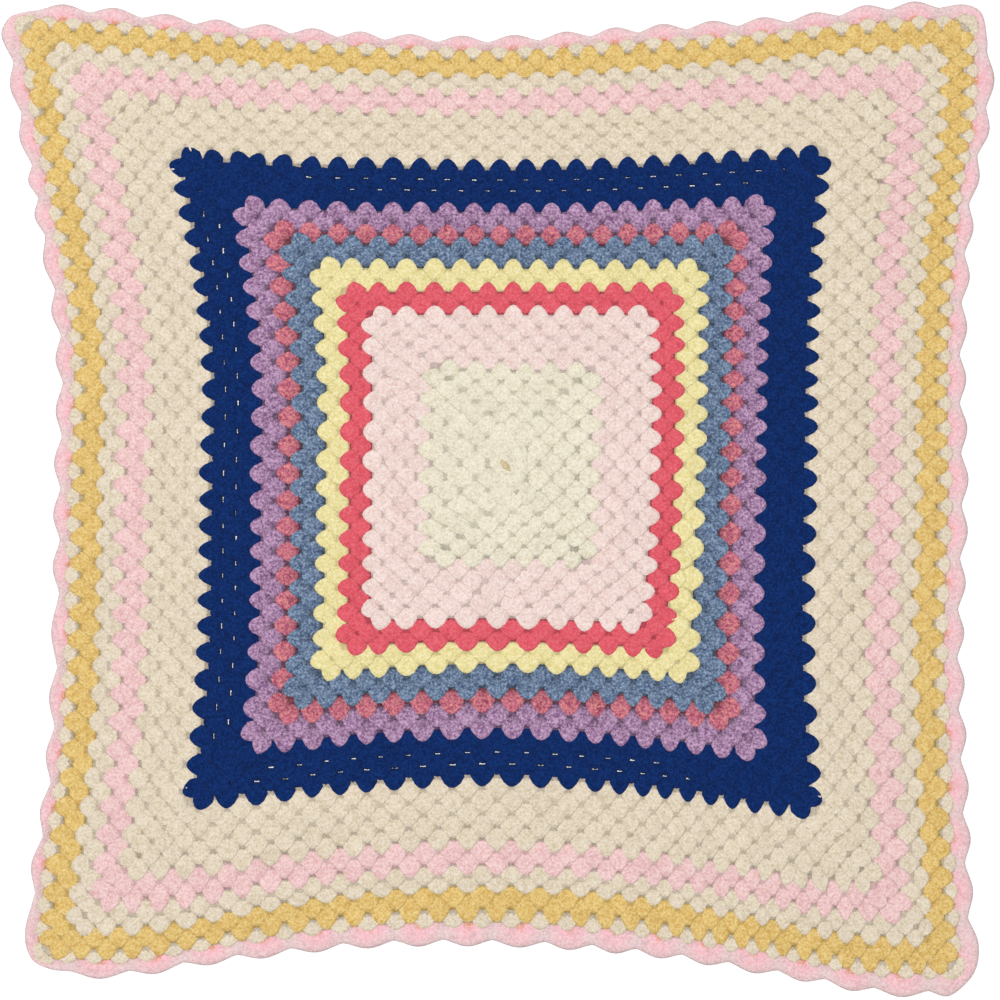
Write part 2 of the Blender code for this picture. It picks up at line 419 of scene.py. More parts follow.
def smooth_between(stations, values, at):
    """A smooth curve through the values at the stations (Catmull-Rom)."""
    last = len(stations) - 1
    i = max(j for j in range(last) if stations[j] <= at) if at > 0 else 0
    step = stations[i + 1] - stations[i]
    share = (at - stations[i]) / step

    def slope(j):
        low, high = max(j - 1, 0), min(j + 1, last)
        return (values[high] - values[low]) / (stations[high] - stations[low])

    square, cube = share * share, share * share * share
    return (
        (2 * cube - 3 * square + 1) * values[i]
        + (cube - 2 * square + share) * step * slope(i)
        + (3 * square - 2 * cube) * values[i + 1]
        + (cube - square) * step * slope(i + 1)
    )


def key_pair(line):
    """The two key lines around this one, and how far it lies from the first to the second."""
    for low, high in zip(KEY_LINES, KEY_LINES[1:]):
        if line <= high[0]:
            return low, high, (line - low[0]) / (high[0] - low[0])
    return KEY_LINES[-2], KEY_LINES[-1], 1.0


def line_corner(line, number):
    low, high, share = key_pair(line)
    return Vector(low[1 + number % 4]).lerp(Vector(high[1 + number % 4]), share)


def line_point(line, side, along):
    """A point of a line, in mm on the grid. side is 0 to 3 clockwise from the top."""
    low, high, share = key_pair(line)
    first, second = line_corner(line, side), line_corner(line, side + 1)
    dip = low[5][side] + (high[5][side] - low[5][side]) * share
    span = OUTER_DIP_LINE - INNER_DIP_LINE
    outer = min(max((line - INNER_DIP_LINE) / span, 0.0), 1.0)
    within = min(max(along, 0.0), 1.0)
    inner_form = smooth_between(DIP_STATIONS, INNER_DIP[side], within)
    outer_form = smooth_between(DIP_STATIONS, OUTER_DIP[side], within)
    dip *= inner_form + (outer_form - inner_form) * outer
    inward = Vector((second.y - first.y, first.x - second.x)).normalized()
    return first.lerp(second, along) + inward * dip


def side_span(line, side):
    """Where a line's side starts and ends, measured along the way that the side runs."""
    way = SIDE_WAYS[side]
    return line_corner(line, side).dot(way), line_corner(line, side + 1).dot(way)


def point_at(line, side, place):
    """The point of a line whose place along the side's way is this."""
    start, end = side_span(line, side)
    return line_point(line, side, (place - start) / (end - start))


def side_value(table, number, side):
    """The value for a round and side, read between the rows of a table."""
    if number <= table[0][0]:
        return table[0][1 + side]
    for low, high in zip(table, table[1:]):
        if number <= high[0]:
            share = (number - low[0]) / (high[0] - low[0])
            return low[1 + side] + (high[1 + side] - low[1 + side]) * share
    return table[-1][1 + side]


def head_places(before, number, side):
    """Where the cluster heads of a round are along a side, each over a gap of the round before."""
    start, end = side_span(number + 1, side)
    step = side_value(CORNER_STEPS, number, side)
    first, last = start + step, end - step
    count = math.floor(side_value(CLUSTER_COUNTS, number, side) + 0.5)
    if count == 1:
        return [(first + last) / 2]
    if len(before) < 2:
        return [first + (last - first) * i / (count - 1) for i in range(count)]
    places = [first] + [(a + b) / 2 for a, b in zip(before, before[1:])] + [last]
    # An extra cluster is squeezed in after the corner, or one is left out before the next.
    squeezed = min(SQUEEZED, len(places) - 1)
    while len(places) < count:
        near, far = places[0], places[squeezed]
        steps = squeezed + 1
        places[: squeezed + 1] = [near + (far - near) * i / steps for i in range(steps + 1)]
    while len(places) > count:
        near, far = places[-1 - squeezed], places[-1]
        steps = squeezed - 1
        places[-1 - squeezed :] = [near + (far - near) * i / steps for i in range(steps + 1)]
    return places


def cluster_table(number, side, places, before):
    """Rows of (start, head, width) for the clusters of one side of a round, in mm."""
    rows = []
    way = SIDE_WAYS[side]
    head_line = number + 1 if number < LAST_ROUND else LAST_HEAD_LINE
    gaps = [(a + b) / 2 for a, b in zip(before, before[1:])]
    for i, place in enumerate(places):
        near = [abs(place - places[j]) for j in (i - 1, i + 1) if 0 <= j < len(places)]
        width = sum(near) / len(near) if near else LONE_WIDTH
        head = point_at(head_line, side, place)
        if number == FIRST_ROUND:
            start = point_at(number - 1, side, place)
        elif i in (0, len(places) - 1):
            # Both clusters of a corner start in its chain space.
            inward = CORNER_INSET if i == 0 else -CORNER_INSET
            inside = CORNER_START
            if number in NEW_YARN_ROUNDS:
                inside = CORNER_START_OPEN if number - 2 in OPEN_ROUNDS else CORNER_START_NEW
            start = line_corner(number - inside, side + (i > 0)) + way * inward
            width = min(width, CORNER_WIDTH)
        else:
            pull = min((gap - place for gap in gaps), key=abs, default=0.0)
            pull = min(max(pull, -FARTHEST_PULL), FARTHEST_PULL)
            start = point_at(number - 1, side, place + pull)
        rows.append((start, head, width))
    if number == LAST_ROUND:
        ends = [line_corner(line, side) for line in CORNER_FILL_LINES]
        rows.append((*ends, CORNER_WIDTH))
    # Where a cluster is left out, a short one fills the gap that it would have used.
    for gap in gaps:
        start = point_at(number - 1, side, gap)
        if all((start - row[0]).length > EMPTY_GAP for row in rows):
            end = point_at(min(number + SHORT_REACH, SHORT_LAST_LINE), side, gap)
            rows.append((start, end, SHORT_WIDTH))
    return rows


def side_length(side):
    first, second = line_corner(OUTER_DIP_LINE, side), line_corner(OUTER_DIP_LINE, side + 1)
    return (second - first).length


def shell_place(side, shell):
    """How far along its side the middle of a shell is. Halves give the dips between shells."""
    dips = SHELL_DIPS[side]
    at = min(max(shell + 0.5, 0.0), len(dips) - 1.0)
    low = min(int(at), len(dips) - 2)
    return (dips[low] + (dips[low + 1] - dips[low]) * (at - low)) / side_length(side)


# ---- Small helpers ----


def add_node(tree, kind, inputs=(), output=0, **settings):
    """Adds a node and returns one of its outputs.

    inputs is what its first sockets get, in order, or maps a socket's name or number to what it
    gets: a value, or the output that it reads.
    """
    node = tree.nodes.new(kind)
    for name, value in settings.items():
        setattr(node, name, value)
    for key, value in inputs.items() if isinstance(inputs, dict) else enumerate(inputs):
        if isinstance(value, bpy.types.NodeSocket):
            tree.links.new(value, node.inputs[key])
        else:
            node.inputs[key].default_value = value
    return node.outputs[output] if node.outputs else None


def new_object(name, mesh):
    item = bpy.data.objects.new(name, mesh)
    bpy.context.scene.collection.objects.link(item)
    return item


def grid_mesh(name, rows, heights, seams):
    """A closed scale of cloth: rows of points from root to rim, over one flat underside.

    rows and heights hold a point (x, y) and a height for each column of each row, and seams the
    place across and along the stitches that the yarn's ply follows, in mm.
    """
    count, columns = len(rows), len(rows[0])
    points = [(*rows[r][c], heights[r][c]) for r in range(count) for c in range(columns)]

    def at(r, c):
        return r * columns + c

    faces = [
        (at(r, c), at(r, c + 1), at(r + 1, c + 1), at(r + 1, c))
        for r in range(count - 1)
        for c in range(columns - 1)
    ]
    outline = [at(0, c) for c in range(columns)]
    outline += [at(r, columns - 1) for r in range(1, count)]
    outline += [at(count - 1, c) for c in range(columns - 2, -1, -1)]
    outline += [at(r, 0) for r in range(count - 2, 0, -1)]
    faces.append(outline[::-1])
    mesh = bpy.data.meshes.new(name)
    mesh.from_pydata(points, [], faces)
    layer = mesh.uv_layers.new(name="ply")
    flat = [place for row in seams for place in row]
    for loop in mesh.loops:
        layer.data[loop.index].uv = flat[loop.vertex_index]
    tallest = max(max(row) for row in heights)
    crests = [point[2] / tallest for point in points]
    mesh.attributes.new("crest", "FLOAT", "POINT").data.foreach_set("value", crests)
    return mesh


def loop_mesh(name, columns, plies, lap=0.0, **values):
    """A closed band of cloth. Its columns of points run anticlockwise, each from the inside out.

    lap is how far plies has run when the last column meets the first again.
    """
    count, across = len(columns), len(columns[0])
    faces = []
    for i in range(count):
        here, there = i * across, (i + 1) % count * across
        for j in range(across - 1):
            faces.append((here + j, here + j + 1, there + j + 1, there + j))
        faces.append((here, there, there + across - 1, here + across - 1))
    mesh = bpy.data.meshes.new(name)
    mesh.from_pydata([point for column in columns for point in column], [], faces)
    layer = mesh.uv_layers.new(name="ply")
    for i, loop in enumerate(mesh.loops):
        run, over = plies[loop.vertex_index]
        closing = i >= 4 * (count - 1) * across and loop.vertex_index < across
        layer.data[i].uv = (run + lap, over) if closing else (run, over)
    for label, each in values.items():
        mesh.attributes.new(label, "FLOAT", "POINT").data.foreach_set("value", each)
    mesh.polygons.foreach_set("use_smooth", ([True] * (across - 1) + [False]) * count)
    return mesh


# ---- Stitches ----

# Heights across a cluster of three trebles: rim, first treble, groove, second, groove, third.
ACROSS = (-1.0, -0.90, -0.62, -0.31, 0.0, 0.31, 0.62, 0.90, 1.0)
ACROSS_HEIGHT = (0.0, 0.86, 0.98, 0.91, 1.0, 0.91, 0.98, 0.86, 0.0)
# Heights along a treble: where it is hooked in, its post and its rounded head.
ALONG = (0.0, 0.04, 0.20, 0.40, 0.60, 0.78, 0.94, 1.0)
ALONG_HEIGHT = (0.0, 0.64, 0.80, 0.87, 0.93, 0.94, 0.98, 0.0)
# Half width of a cluster's foot, and where along it the foot, the outer trebles and the head end.
ROOT_WIDTH = 0.58
ROOT, SHOULDER, TIP = 0.03, 0.40, 1.0
# How far the outer trebles bulge, and how high a cluster's edge is.
BULGE, EDGE_HEIGHT = 0.10, 0.04
# Half width and length in mm that the plies run by.
PLY_WIDTH, PLY_LENGTH = 10.0, 26.0
# Lean and fullness of the forms that clusters are picked from.
CLUSTER_FORMS = ((0.0, 2.3), (0.03, 2.1), (-0.03, 2.6))


def cluster_mesh(name, lean, fullness):
    """Three trebles fanned out of one gap. Unit width to each side, unit length, unit height."""
    rows, heights, seams = [], [], []
    for t, tall in zip(ALONG, ALONG_HEIGHT):
        row, high, seam = [], [], []
        for c, across in zip(ACROSS, ACROSS_HEIGHT):
            end = Vector((c, SHOULDER + (TIP - SHOULDER) * (1 - abs(c) ** fullness)))
            foot = Vector((c * ROOT_WIDTH, ROOT))
            bend = foot.lerp(end, 0.5) + Vector((BULGE * c, 0.0))
            spot = foot * (1 - t) ** 2 + bend * 2 * t * (1 - t) + end * t * t
            spot.x += lean * math.sin(math.pi * t)
            row.append((spot.x, spot.y))
            edge = 0.0 if abs(c) == 1.0 else 1.0
            high.append(EDGE_HEIGHT + (1 - EDGE_HEIGHT) * edge * across * tall)
            seam.append((c * PLY_WIDTH, t * PLY_LENGTH))
        rows.append(row)
        heights.append(high)
        seams.append(seam)
    return grid_mesh(name, rows, heights, seams)


def backing_mesh(name, first_line, last_line, tall):
    """The lower half of a band's cloth, flat between two lines, which shuts every gap above it."""
    columns, plies = [], []
    for side in range(4):
        for i in range(BACKING_STEPS):
            along = i / BACKING_STEPS
            far_line = last_line
            if first_line < OPEN_LINE < last_line and i > CLOSED_STEPS[side]:
                far_line = OPEN_LINE
            inner, outer = (line_point(line, side, along) for line in (first_line, far_line))
            corners = ((inner, SKIN), (inner, tall), (outer, tall), (outer, SKIN))
            columns.append([in_frame(*corner) for corner in corners])
            run = (side * BACKING_STEPS + i) * BACKING_PLY[0]
            plies += [(run, t * BACKING_PLY[1]) for t in range(4)]
    columns.reverse()
    # crest 1 keeps painted crease shade off the backing; hollow 1 darkens all of it with painted
    # shade for the bottom of the gaps.
    whole = [1.0] * len(plies)
    lap = 4 * BACKING_STEPS * BACKING_PLY[0]
    return loop_mesh(name, columns, plies, lap, crest=whole, hollow=whole)


def cluster_tree():
    """Geometry Nodes: sets a cluster on every point, turned, sized and slightly uneven."""
    tree = bpy.data.node_groups.new("Work clusters", "GeometryNodeTree")
    for label, way, kind in (
        ("Points", "INPUT", "Geometry"),
        ("Stitches", "INPUT", "Collection"),
        ("Turn wobble", "INPUT", "Float"),
        ("Size wobble", "INPUT", "Float"),
        ("Seed", "INPUT", "Int"),
        ("Yarn", "INPUT", "Material"),
        ("Crochet", "OUTPUT", "Geometry"),
    ):
        tree.interface.new_socket(label, in_out=way, socket_type="NodeSocket" + kind)
    given = tree.nodes.new("NodeGroupInput").outputs
    node = partial(add_node, tree)
    wobble, spread = given["Turn wobble"], given["Size wobble"]
    # Each random draw has a seed of its own.
    seeds = [node("ShaderNodeMath", (given["Seed"], i), operation="ADD") for i in range(4)]
    draw, store = "FunctionNodeRandomValue", "GeometryNodeStoreNamedAttribute"
    back = node("ShaderNodeMath", (wobble, -1.0), operation="MULTIPLY")
    lean = node(draw, {2: back, 3: wobble, "Seed": seeds[0]}, 1, data_type="FLOAT")
    small = node("ShaderNodeMath", (1.0, spread), operation="SUBTRACT")
    large = node("ShaderNodeMath", (1.0, spread), operation="ADD")
    least = node("ShaderNodeCombineXYZ", (small, 0.98, small))
    most = node("ShaderNodeCombineXYZ", (large, 1.01, 1.0))
    swell = node(draw, {0: least, 1: most, "Seed": seeds[1]}, data_type="FLOAT_VECTOR")
    form = node(draw, {4: 0, 5: len(CLUSTER_FORMS) - 1, "Seed": seeds[2]}, 2, data_type="INT")
    shade = node(draw, {2: -1.0, 3: 1.0, "Seed": seeds[3]}, 1, data_type="FLOAT")
    own_turn = node("GeometryNodeInputNamedAttribute", ("turn",), data_type="FLOAT")
    own_size = node("GeometryNodeInputNamedAttribute", ("size",), data_type="FLOAT_VECTOR")
    angle = node("ShaderNodeMath", (own_turn, lean), operation="ADD")
    stitches = {"Collection": given["Stitches"], "Separate Children": True, "Reset Children": True}
    places = {
        "Points": given["Points"],
        "Instance": node("GeometryNodeCollectionInfo", stitches),
        "Pick Instance": True,
        "Instance Index": form,
        "Rotation": node("FunctionNodeAxisAngleToRotation", ((0.0, 0.0, 1.0), angle)),
        "Scale": node("ShaderNodeVectorMath", (own_size, swell), operation="MULTIPLY"),
    }
    placed = node("GeometryNodeInstanceOnPoints", places)
    shades = {"Geometry": placed, "Name": "shade", "Value": shade}
    shaded = node(store, shades, data_type="FLOAT", domain="INSTANCE")
    real = node("GeometryNodeRealizeInstances", (shaded,))
    smooth = node("GeometryNodeSetShadeSmooth", (real,))
    yarned = {"Geometry": smooth, "Material": given["Yarn"]}
    node("NodeGroupOutput", (node("GeometryNodeSetMaterial", yarned),))
    return tree


def points_object(name, rows):
    """A cloud of points with what each stitch needs. rows are (place, turn, size)."""
    mesh = bpy.data.meshes.new(name)
    mesh.from_pydata([row[0] for row in rows], [], [])
    # Each layer is filled before the next is made, as a new one moves those before it.
    turns = mesh.attributes.new("turn", "FLOAT", "POINT")
    turns.data.foreach_set("value", [row[1] for row in rows])
    sizes = mesh.attributes.new("size", "FLOAT_VECTOR", "POINT")
    sizes.data.foreach_set("vector", [part for row in rows for part in row[2]])
    return new_object(name, mesh)


def worked(item, tree, settings):
    """The plain mesh that the tree makes of an object's points."""
    modifier = item.modifiers.new("Work", "NODES")
    modifier.node_group = tree
    for socket in tree.interface.items_tree:
        if socket.item_type == "SOCKET" and socket.in_out == "INPUT" and socket.name in settings:
            modifier[socket.identifier] = settings[socket.name]
    graph = bpy.context.evaluated_depsgraph_get()
    mesh = bpy.data.meshes.new_from_object(item.evaluated_get(graph), depsgraph=graph)
    mesh.name = item.name
    item.modifiers.clear()
    item.data = mesh
    return item


def stitch_collection(name, meshes):
    """The shapes that a tree picks from, kept out of the scene."""
    stitches = bpy.data.collections.new(name)
    for mesh in meshes:
        stitches.objects.link(bpy.data.objects.new(mesh.name, mesh))
    return stitches


def drop_collection(stitches):
    for item in list(stitches.objects):
        mesh = item.data
        bpy.data.objects.remove(item)
        bpy.data.meshes.remove(mesh)
    bpy.data.collections.remove(stitches)


def in_frame(point, height=0.0):
    """A point of the grid in mm as a place in the frame, in metres."""
    return Vector(((point.x - GRID_MIDDLE.x) * MM, (point.y - GRID_MIDDLE.y) * MM, height))


# ---- Yarn material ----


def yarn_material(name, base, flecks, crease_shade, gap):
    """Soft spun acrylic yarn, brushed and slightly heathered, with a matt face.

    The colour shifts a little from cluster to cluster and in flecks of 2 to 5 mm, where the plies
    catch the light. The real fibres are far finer than a pixel, so they are drawn 2 mm wide.
    """
    material = bpy.data.materials.new(name + "_spun_yarn")
    material.use_nodes = True
    tree = material.node_tree
    tree.nodes.clear()
    node = partial(add_node, tree)
    spots = node("ShaderNodeTexCoord", output="Object")
    fleck, fibre = (
        node("ShaderNodeTexNoise", {"Vector": spots, "Roughness": 0.7, **size}, "Fac")
        for size in ({"Scale": 165.0, "Detail": 3.0}, {"Scale": 430.0, "Detail": 2.0})
    )
    blush, foot, shade, crest, hollow = (
        node("ShaderNodeAttribute", output="Fac", attribute_name=label)
        for label in ("blush", "foot", "shade", "crest", "hollow")
    )
    _, dark, pale = YARNS[name]
    # Colours laid over the yarn's own: what steers one, where it starts and is full, how much.
    layers = [
        (fleck, 0.52, 0.34, flecks, dark),
        (fibre, 0.48, 0.66, flecks, pale),
        (fibre, 0.46, 0.32, flecks, dark),
    ]
    if name == "shell_pink":
        layers = [(blush, 0.0, 0.75, 1.0, SHELL_BLUSH), (foot, 0.2, 0.9, 1.0, SHELL_FOOT_SHADOW_AND_GOLD)] + layers
    colour = (*base, 1.0)
    for value, start, full, most, over in layers:
        share = node("ShaderNodeMapRange", (value, start, full, 0.0, most))
        inputs = {0: share, 6: colour, 7: (*linear_rgb(over), 1.0)}
        colour = node("ShaderNodeMix", inputs, 2, data_type="RGBA")
    # Painted shade in a crease fades out between these heights, as shares of the tallest.
    shallow = (0.60, 0.95) if name in MIXED_YARNS else (0.05, 0.75)
    # A random shift per cluster, times painted shade in creases and at the bottom of gaps.
    tone_and_painted_shade = 1.0
    for value, *ends in (
        (shade, -1.0, 1.0, 0.97, 1.02),
        (crest, *shallow, crease_shade, 1.0),
        (hollow, 0.0, 1.0, 1.0, gap),  # light hardly reaches the bottom of a gap
    ):
        level = node("ShaderNodeMapRange", (value, *ends))
        tone_and_painted_shade = node("ShaderNodeMath", (tone_and_painted_shade, level), operation="MULTIPLY")
    inputs = {0: 1.0, 6: colour, 7: tone_and_painted_shade}
    colour_with_painted_shade = node("ShaderNodeMix", inputs, 2, data_type="RGBA", blend_type="MULTIPLY")
    # Plies twist round each treble at a slant, about 3 mm apart.
    ply = node("ShaderNodeUVMap", output="UV", uv_map="ply")
    turn = (0.0, 0.0, math.radians(38))
    slant = node("ShaderNodeMapping", {"Vector": ply, "Rotation": turn})
    wave = {"Vector": slant, "Scale": 0.105, "Distortion": 2.5, "Detail": 1.0, "Detail Scale": 1.4}
    twist = node("ShaderNodeTexWave", wave, "Fac")
    weak = node("ShaderNodeMapRange", (twist, 0.0, 1.0, 0.0, 0.15))
    relief = node("ShaderNodeMath", (weak, fibre), operation="ADD")
    looks = {
        "Base Color": colour_with_painted_shade,
        "Roughness": 1.0,
        "IOR": 1.45,
        "Specular IOR Level": 0.06,
        "Sheen Weight": 0.04,
        "Sheen Roughness": 0.6,
        "Normal": node("ShaderNodeBump", {"Strength": 0.7, "Distance": 0.0016, "Height": relief}),
    }
    node("ShaderNodeOutputMaterial", (node("ShaderNodeBsdfPrincipled", looks),))
    return material


def yarn(name):
    """The material of a yarn, in the user's colour, made once."""
    base = tuple(getattr(bpy.context.scene.blanket_yarns, name))
    looks = YARN_LOOKS.get(name, PALE_YARN_LOOKS)
    return bpy.data.materials.get(name + "_spun_yarn") or yarn_material(name, base, *looks)


# ---- Operators ----


class BLANKET_OT_work_rounds(bpy.types.Operator):
    """Work the 38 rounds of the square, one piece for each band of colour"""

    bl_idname = "blanket.work_rounds"
    bl_label = "Work the rounds"

    def execute(self, context):
        sizes = context.scene.blanket_stitches
        heads, tables = {}, {}
        for number in range(FIRST_ROUND, LAST_ROUND + 1):
            for side in range(4):
                before = heads.get((number - 1, side), [])
                places = heads[number, side] = head_places(before, number, side)
                tables[number, side] = cluster_table(number, side, places, before)
        # The tree picks them in the order of their names.
        kinds = [cluster_mesh(f"stitch_{i}", *form) for i, form in enumerate(CLUSTER_FORMS)]
        kinds = stitch_collection("Stitches", kinds)
        tree = cluster_tree()
        pieces = []
        for name, yarn_name, first, last in BANDS:
            rows, cloth = [], 0.0
            for number in range(first, last + 1):
                thin = number in (FIRST_ROUND, LAST_ROUND)
                tall = sizes.thickness * (THIN_ROUND if thin else 1.0)
                lift = ODD_ROUND_LIFT * (number % 2)
                for side in range(4):
                    for start, head, width in tables[number, side]:
                        if number - 1 in OPEN_ROUNDS:  # only a slit is left of an open gap
                            start = start - (head - start) * START_SHIFT
                        elif yarn_name in MIXED_YARNS:
                            start = start + (head - start) * START_SHIFT
                        reach = head - start
                        half = width * sizes.head_share / 2
                        cloth += half * (1 + ROOT_WIDTH) * reach.length * MM * MM
                        rows.append((
                            in_frame(start, lift),
                            math.atan2(-reach.x, reach.y),
                            (half * MM, reach.length * MM, tall - lift - SKIN),
                        ))
            settings = {
                "Stitches": kinds,
                "Turn wobble": sizes.turn_wobble,
                "Size wobble": sizes.size_wobble,
                "Seed": sizes.seed + 10 * first,
                "Yarn": yarn(yarn_name),
            }
            piece = worked(points_object(name, rows), tree, settings)
            opened = first - 2 in OPEN_ROUNDS
            begin = first - (BACKING_BEGINS_OPEN if opened else BACKING_BEGINS)
            end = last + (BACKING_ENDS if last < LAST_ROUND else BACKING_ENDS_LAST)
            low = sizes.backing * sizes.thickness * (LOWER_BACKING if len(pieces) % 2 else 1.0)
            mesh = backing_mesh(name + "_back", begin, end, low)
            mesh.materials.append(yarn(yarn_name))
            back = new_object(name + "_back", mesh)
            pieces.append((piece, back, yarn_name, first, last, cloth))
        drop_collection(kinds)
        for piece, back, yarn_name, first, last, cloth in pieces:
            for part in (piece, back):
                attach(part, "root")
        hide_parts("granny_square")
        return {"FINISHED"}


# Almond-shaped bands round the eye, in mm from it and degrees. first and last are half lengths
# and widths of the outlines that one runs between. The starting ring hides the seam's own hole.
SEAM_BANDS = (
    # piece, yarn, middle, turn, first, last, ((place, height), ...)
    ("starting_ring", "ivory", (0.0, 0.0), -46, (7.6, 2.9), (12.5, 8.5),
     ((0.0, 0.05), (0.1, 0.7), (0.4, 1.0), (0.8, 0.8), (1.0, 0.05))),
    # A tan disc fills the eye: painted shadow of the open hole, where the floor lies in shade.
    ("seam_start", "tan", (0.0, 0.0), -46, (8.2, 3.4), (0.1, 0.04),
     ((0.0, 0.05), (0.1, 0.9), (0.9, 0.94), (0.99, 0.94), (1.0, 0.05))),
    ("foundation_seam", "ivory", (4.0, 3.8), 90, (38, 22), (0.1, 0.04),
     ((0.0, 0.05), (0.15, 0.74), (0.5, 0.80), (0.99, 0.80), (1.0, 0.05))),
)
SEAM_STEPS = 28
SEAM_HEIGHT = 0.99  # of the thickness


class BLANKET_OT_work_ring(bpy.types.Operator):
    """Close the foundation seam round a slanting eye, filled with a tan disc of painted shadow"""

    bl_idname = "blanket.work_ring"
    bl_label = "Work the eye of the seam"

    def execute(self, context):
        tallest = SEAM_HEIGHT * context.scene.blanket_stitches.thickness
        for band in SEAM_BANDS:
            self.work_band(tallest, *band)
        return {"FINISHED"}

    def work_band(self, tallest, name, yarn_name, middle, turn, first, last, profile):
        middle = EYE + Vector(middle)
        slant = Matrix.Rotation(math.radians(turn), 2)
        columns, plies, crests = [], [], []
        for i in range(SEAM_STEPS):
            angle = 2 * math.pi * i / SEAM_STEPS
            form = Vector((math.cos(angle), math.sin(angle) * abs(math.sin(angle)) ** 0.5))
            ends = [Vector((form.x * size[0], form.y * size[1])) for size in (first, last)]
            column = []
            for t, tall in profile:
                spot = ends[0].lerp(ends[1], t)
                plies.append(tuple(spot))
                crests.append(tall)
                spot.rotate(slant)
                column.append(in_frame(middle + spot, tall * tallest))
            columns.append(column)
        if last < first:  # it runs inwards, so its columns are taken the other way round
            columns = [column[::-1] for column in columns]
            across = len(profile)
            order = [i * across + j for i in range(SEAM_STEPS) for j in range(across)[::-1]]
            plies, crests = [plies[i] for i in order], [crests[i] for i in order]
        mesh = loop_mesh(name, columns, plies, crest=crests)
        mesh.materials.append(yarn(yarn_name))
        item = new_object(name, mesh)
        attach(item, "root")


# The edging's root lies on this line, under the last round.
EDGING_LINE = 37.85
# Heights across the edging, from its root to where it comes out and, with places, on to its rim.
EDGING_ROOT = (0.0, 0.45, 0.50)
EDGING_UPPER = ((0.20, 0.86), (0.46, 1.0), (0.72, 0.93), (0.91, 0.72), (1.0, 0.0))
# Mm from the root to the second height and to where the edging comes out: at a shell's foot, more
# away from the foot, and at most, as a share of the reach.
EDGING_INSIDE, EDGING_OUT, EDGING_OUT_MORE, EDGING_OUT_MOST = 0.4, 2.6, 2.8, 0.6
EDGING_LOWEST = 0.04
# A place in a shell runs from -0.5 to 0.5. Half width of its foot, and the slope on from it.
FOOT_FLAT, FOOT_SLOPE = 0.08, 0.14
# Half width of the tint at the foot (gold showing through, with painted shadow), its strength
# outside, and its share of the reach.
TINT_WIDTH, TINT_OUTSIDE, TINT_REACH = 0.12, 0.4, 0.45
BLUSH_WIDTH = 1 / 2.2
# How much lower the edging is at a dip, and how round and how pointed a shell's rim is.
DIP_DROP, ROUNDNESS, POINTEDNESS = 0.2, 0.6, 1.6
SHELL_STEPS = 24
FAN_STEPS = 60
# Place in a shell that the middle of a fan counts as, and its growth towards both ends.
FAN_PLACE, FAN_GROWTH = 0.13, 0.74


def rim_point(side, shell, offset, depth):
    """A point of the rim, in mm on the grid. offset is the place in the shell."""
    outer = line_point(OUTER_DIP_LINE, side, shell_place(side, shell + offset))
    across = line_corner(OUTER_DIP_LINE, side + 1) - line_corner(OUTER_DIP_LINE, side)
    inward = Vector((across.y, -across.x)).normalized()
    dip = ROUNDNESS * math.sin(math.pi * offset) ** 2 + POINTEDNESS * offset**2
    return outer + inward * depth * dip


def edging_columns(depth):
    """Columns of the edging clockwise from the top left: root, rim, and place in the shell."""
    columns = []
    for side in range(4):
        following = (side + 1) % 4
        for shell in range(SHELL_COUNTS[side]):
            for i in range(SHELL_STEPS):
                offset = i / SHELL_STEPS - 0.5
                rim = rim_point(side, shell, offset, depth)
                root = point_at(EDGING_LINE, side, rim.dot(SIDE_WAYS[side]))
                columns.append((root, rim, offset))
        knots = [rim_point(side, SHELL_COUNTS[side] - 1, 0.5, depth)]
        knots += [Vector(knot) for knot in CORNER_FANS[side]]
        knots.append(rim_point(following, 0, -0.5, depth))
        stations = list(range(len(knots)))
        turn = line_corner(EDGING_LINE, side + 1)
        start = point_at(EDGING_LINE, side, knots[0].dot(SIDE_WAYS[side]))
        end = point_at(EDGING_LINE, following, knots[-1].dot(SIDE_WAYS[following]))
        for i in range(FAN_STEPS):
            share = i / FAN_STEPS
            at = share * (len(knots) - 1)
            rim = Vector([
                smooth_between(stations, [knot[axis] for knot in knots], at) for axis in (0, 1)
            ])
            half = 2 * share
            root = start.lerp(turn, half) if half < 1 else turn.lerp(end, half - 1)
            columns.append((root, rim, FAN_PLACE + FAN_GROWTH * abs(share - 0.5)))
    return columns


